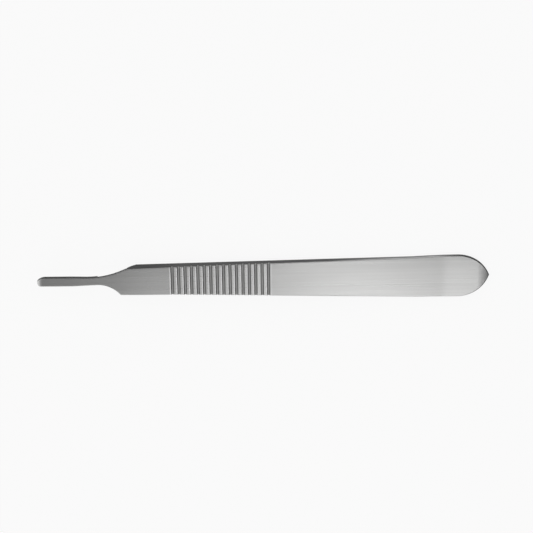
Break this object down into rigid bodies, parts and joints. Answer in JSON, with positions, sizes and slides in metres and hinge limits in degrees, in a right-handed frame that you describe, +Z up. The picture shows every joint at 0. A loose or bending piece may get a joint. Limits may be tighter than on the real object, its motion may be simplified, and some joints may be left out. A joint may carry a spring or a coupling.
{
  "type": "scalpel handle",
  "caption": "One-piece flat steel scalpel handle with a grooved blade rail, a waisted neck, cross grooves for grip and a pointed tail.",
  "frame": {"origin": "on the handle's axis, halfway along its length, on the surface that the handle lies on", "axes": "+X along the handle from the blade fitting to the pointed tail, +Z up out of the plain back, the blade fitting's face down"},
  "size_m": [0.125, 0.012, 0.0036],
  "materials": {
    "steel": "satin stainless steel, brushed along the handle, with milled cross grooves"
  },
  "bodies": {
    "root": {"scalpel_handle": "steel"}
  },
  "joints": []
}
